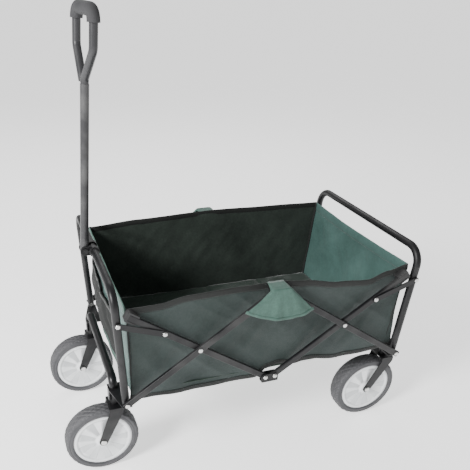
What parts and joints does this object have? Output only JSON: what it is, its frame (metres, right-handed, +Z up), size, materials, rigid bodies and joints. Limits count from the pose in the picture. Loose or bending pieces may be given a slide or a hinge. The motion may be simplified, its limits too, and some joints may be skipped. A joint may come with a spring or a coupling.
{
  "type": "folding camp wagon",
  "caption": "Folding utility wagon with a fabric basket hung in scissor bars between two tube end frames, upright loop handle, front casters and fixed rear wheels.",
  "frame": {"origin": "on the ground under the middle of the overall length and width", "axes": "+X along the wagon from the handle end to the rear, +Y across it from the near side to the far side, +Z up"},
  "size_m": [0.963, 0.545, 1.0888],
  "materials": {
    "powder_coated_steel": "satin",
    "handle_paint": "satin",
    "zinc_rivet": "satin",
    "black_plastic": "matt",
    "grip_foam": "matt",
    "wheel_disc": "satin",
    "wheel_tyre": "matt",
    "green_fabric": "woven",
    "dark_green_fabric": "woven",
    "dark_mesh": "mesh"
  },
  "bodies": {
    "front_frame": {"front_frame_tube": "powder_coated_steel", "front_frame_rivets": "zinc_rivet", "front_cross_tube": "powder_coated_steel", "front_near_bracket": "powder_coated_steel", "front_far_bracket": "powder_coated_steel", "handle_bracket": "powder_coated_steel"},
    "handle": {"handle_tube": "handle_paint", "handle_loop": "handle_paint", "handle_grip": "grip_foam"},
    "front_outer_bars": {"front_near_outer_bar": "powder_coated_steel", "front_far_outer_bar": "powder_coated_steel", "front_scissor_rivets": "zinc_rivet"},
    "front_inner_bars": {"front_near_inner_bar": "powder_coated_steel", "front_far_inner_bar": "powder_coated_steel", "front_near_corner_cap": "black_plastic", "front_far_corner_cap": "black_plastic"},
    "top_brackets": {"near_top_bracket": "powder_coated_steel", "far_top_bracket": "powder_coated_steel", "basket_floor": "dark_green_fabric", "basket_near_wall": "dark_green_fabric", "basket_far_wall": "dark_green_fabric", "basket_front_panel": "green_fabric", "basket_rear_panel": "green_fabric", "front_pocket": "dark_mesh", "near_joint_flap": "green_fabric", "far_joint_flap": "green_fabric"},
    "rear_outer_bars": {"rear_near_outer_bar": "powder_coated_steel", "rear_far_outer_bar": "powder_coated_steel", "rear_scissor_rivets": "zinc_rivet"},
    "rear_inner_bars": {"rear_near_inner_bar": "powder_coated_steel", "rear_far_inner_bar": "powder_coated_steel", "rear_near_corner_cap": "black_plastic", "rear_far_corner_cap": "black_plastic"},
    "bottom_brackets": {"near_bottom_bracket": "powder_coated_steel", "far_bottom_bracket": "powder_coated_steel"},
    "rear_frame": {"rear_frame_tube": "powder_coated_steel", "rear_frame_rivets": "zinc_rivet", "rear_cross_tube": "powder_coated_steel", "rear_near_bracket": "powder_coated_steel", "rear_far_bracket": "powder_coated_steel", "rear_near_fork": "powder_coated_steel", "rear_far_fork": "powder_coated_steel", "rear_near_axle_bolt": "zinc_rivet", "rear_far_axle_bolt": "zinc_rivet"},
    "front_links": {"front_near_link": "powder_coated_steel", "front_far_link": "powder_coated_steel"},
    "rear_links": {"rear_near_link": "powder_coated_steel", "rear_far_link": "powder_coated_steel"},
    "front_near_caster": {"front_near_fork": "powder_coated_steel", "front_near_axle_bolt": "zinc_rivet"},
    "front_far_caster": {"front_far_fork": "powder_coated_steel", "front_far_axle_bolt": "zinc_rivet"},
    "front_near_wheel": {"front_near_hub": "wheel_disc", "front_near_tyre": "wheel_tyre"},
    "front_far_wheel": {"front_far_hub": "wheel_disc", "front_far_tyre": "wheel_tyre"},
    "rear_near_wheel": {"rear_near_hub": "wheel_disc", "rear_near_tyre": "wheel_tyre"},
    "rear_far_wheel": {"rear_far_hub": "wheel_disc", "rear_far_tyre": "wheel_tyre"}
  },
  "joints": [
    {"name": "wagon_fold", "type": "hinge", "parent": "front_frame", "child": "front_outer_bars", "pos_m": [-0.3335, 0, 0.257], "axis": [0, -1, 0], "range_deg": [0, 41.5], "deforming": ["basket_floor", "basket_near_wall", "basket_far_wall", "basket_front_panel", "basket_rear_panel", "front_pocket", "near_joint_flap", "far_joint_flap"]},
    {"name": "front_scissor_pivot", "type": "hinge", "parent": "front_outer_bars", "child": "front_inner_bars", "pos_m": [-0.155, 0, 0.379], "axis": [0, -1, 0], "range_deg": [-83, 0]},
    {"name": "top_bracket_front_pivot", "type": "hinge", "parent": "front_outer_bars", "child": "top_brackets", "pos_m": [0.0235, 0, 0.501], "axis": [0, -1, 0], "range_deg": [-41.5, 0]},
    {"name": "top_bracket_rear_pivot", "type": "hinge", "parent": "top_brackets", "child": "rear_outer_bars", "pos_m": [0.0495, 0, 0.501], "axis": [0, -1, 0], "range_deg": [-41.5, 0]},
    {"name": "rear_scissor_pivot", "type": "hinge", "parent": "rear_outer_bars", "child": "rear_inner_bars", "pos_m": [0.228, 0, 0.379], "axis": [0, -1, 0], "range_deg": [0, 83]},
    {"name": "rear_leg_pivot", "type": "hinge", "parent": "rear_outer_bars", "child": "rear_frame", "pos_m": [0.4065, 0, 0.257], "axis": [0, -1, 0], "range_deg": [0, 41.5]},
    {"name": "bottom_bracket_front_pivot", "type": "hinge", "parent": "front_inner_bars", "child": "bottom_brackets", "pos_m": [0.0235, 0, 0.257], "axis": [0, -1, 0], "range_deg": [0, 41.5]},
    {"name": "front_link_pivot", "type": "hinge", "parent": "front_frame", "child": "front_links", "pos_m": [-0.34492, 0, 0.475], "axis": [0, -1, 0], "range_deg": [0, 86.33]},
    {"name": "rear_link_pivot", "type": "hinge", "parent": "rear_frame", "child": "rear_links", "pos_m": [0.42136, 0, 0.475], "axis": [0, -1, 0], "range_deg": [-83.94, 0]},
    {"name": "handle_pivot", "type": "hinge", "parent": "front_frame", "child": "handle", "pos_m": [-0.36945, 0, 0.55], "axis": [0, -1, 0], "range_deg": [0, 150]},
    {"name": "front_near_caster_swivel", "type": "hinge", "parent": "front_frame", "child": "front_near_caster", "pos_m": [-0.3485, -0.167, 0.201], "axis": [0, 0, 1], "continuous": true},
    {"name": "front_far_caster_swivel", "type": "hinge", "parent": "front_frame", "child": "front_far_caster", "pos_m": [-0.3485, 0.167, 0.201], "axis": [0, 0, 1], "continuous": true},
    {"name": "front_near_wheel_spin", "type": "hinge", "parent": "front_near_caster", "child": "front_near_wheel", "pos_m": [-0.3865, -0.167, 0.095], "axis": [0, 1, 0], "continuous": true},
    {"name": "front_far_wheel_spin", "type": "hinge", "parent": "front_far_caster", "child": "front_far_wheel", "pos_m": [-0.3865, 0.167, 0.095], "axis": [0, 1, 0], "continuous": true},
    {"name": "rear_near_wheel_spin", "type": "hinge", "parent": "rear_frame", "child": "rear_near_wheel", "pos_m": [0.3865, -0.176, 0.095], "axis": [0, 1, 0], "continuous": true},
    {"name": "rear_far_wheel_spin", "type": "hinge", "parent": "rear_frame", "child": "rear_far_wheel", "pos_m": [0.3865, 0.176, 0.095], "axis": [0, 1, 0], "continuous": true}
  ],
  "couplings": [
    {"joint": "front_scissor_pivot", "follows": "wagon_fold", "ratio": -2},
    {"joint": "top_bracket_front_pivot", "follows": "wagon_fold", "ratio": -1},
    {"joint": "top_bracket_rear_pivot", "follows": "wagon_fold", "ratio": -1},
    {"joint": "rear_scissor_pivot", "follows": "wagon_fold", "ratio": 2},
    {"joint": "rear_leg_pivot", "follows": "wagon_fold", "ratio": 1},
    {"joint": "bottom_bracket_front_pivot", "follows": "wagon_fold", "ratio": 1},
    {"joint": "front_link_pivot", "follows": "wagon_fold", "ratio": 2.08},
    {"joint": "rear_link_pivot", "follows": "wagon_fold", "ratio": -2.0224}
  ]
}
